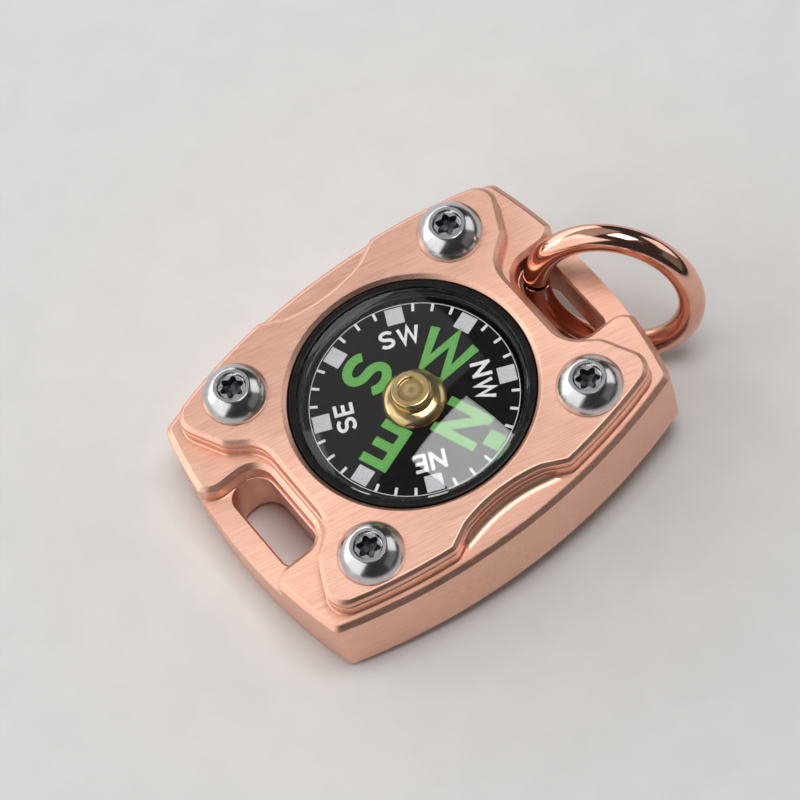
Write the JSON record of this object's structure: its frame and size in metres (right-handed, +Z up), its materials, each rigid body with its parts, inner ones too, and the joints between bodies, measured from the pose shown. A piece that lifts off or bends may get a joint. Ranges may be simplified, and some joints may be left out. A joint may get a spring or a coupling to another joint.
{
  "type": "luminous compass",
  "caption": "Small luminous compass in a brushed copper case with a screwed cover plate, end slots and a rose gold jump ring.",
  "frame": {"origin": "middle of the case's flat underside", "axes": "+Z up out of the lens, +X along the length towards the end that carries the jump ring, +Y across the width"},
  "size_m": [0.0369, 0.0252, 0.0126],
  "materials": {
    "brushed_copper": "brushed copper",
    "rose_gold_wire": "polished",
    "polished_steel": "polished",
    "polished_brass": "polished",
    "black_moulding": "gloss",
    "black_rubber": "matt",
    "grey_foam": "matt",
    "clear_lens": "clear",
    "black_card": "matt",
    "ruby_jewel": "polished",
    "magnet_steel": "plain"
  },
  "bodies": {
    "case": {"case_base": "brushed_copper", "case_cover": "brushed_copper", "cover_gasket": "black_rubber", "capsule_pad": "grey_foam", "cover_screw_ring_left": "polished_steel", "cover_screw_ring_right": "polished_steel", "cover_screw_tail_left": "polished_steel", "cover_screw_tail_right": "polished_steel", "capsule_cup": "black_moulding", "capsule_bezel": "black_moulding", "capsule_lens": "clear_lens", "lens_seal": "black_rubber", "pivot_post": "polished_brass", "pivot_pin": "polished_steel"},
    "jewel": {"pivot_jewel": "ruby_jewel"},
    "cap": {"pivot_cap": "polished_brass"},
    "card": {"compass_card": "black_card", "card_magnet_left": "magnet_steel", "card_magnet_right": "magnet_steel"},
    "ring": {"lanyard_ring": "rose_gold_wire"}
  },
  "joints": [
    {"name": "card_tilt_x", "type": "hinge", "parent": "case", "child": "jewel", "pos_m": [0, 0, 0.0074], "axis": [1, 0, 0], "range_deg": [-3, 3]},
    {"name": "card_tilt_y", "type": "hinge", "parent": "jewel", "child": "cap", "pos_m": [0, 0, 0.0074], "axis": [0, 1, 0], "range_deg": [-3, 3]},
    {"name": "card_spin", "type": "hinge", "parent": "cap", "child": "card", "pos_m": [0, 0, 0.0074], "axis": [0, 0, 1], "continuous": true},
    {"name": "ring_swing", "type": "hinge", "parent": "case", "child": "ring", "pos_m": [0.01296, 0.00216, 0.0038], "axis": [0.1911, 0.1745, 0.9659], "range_deg": [-6, 125]}
  ]
}
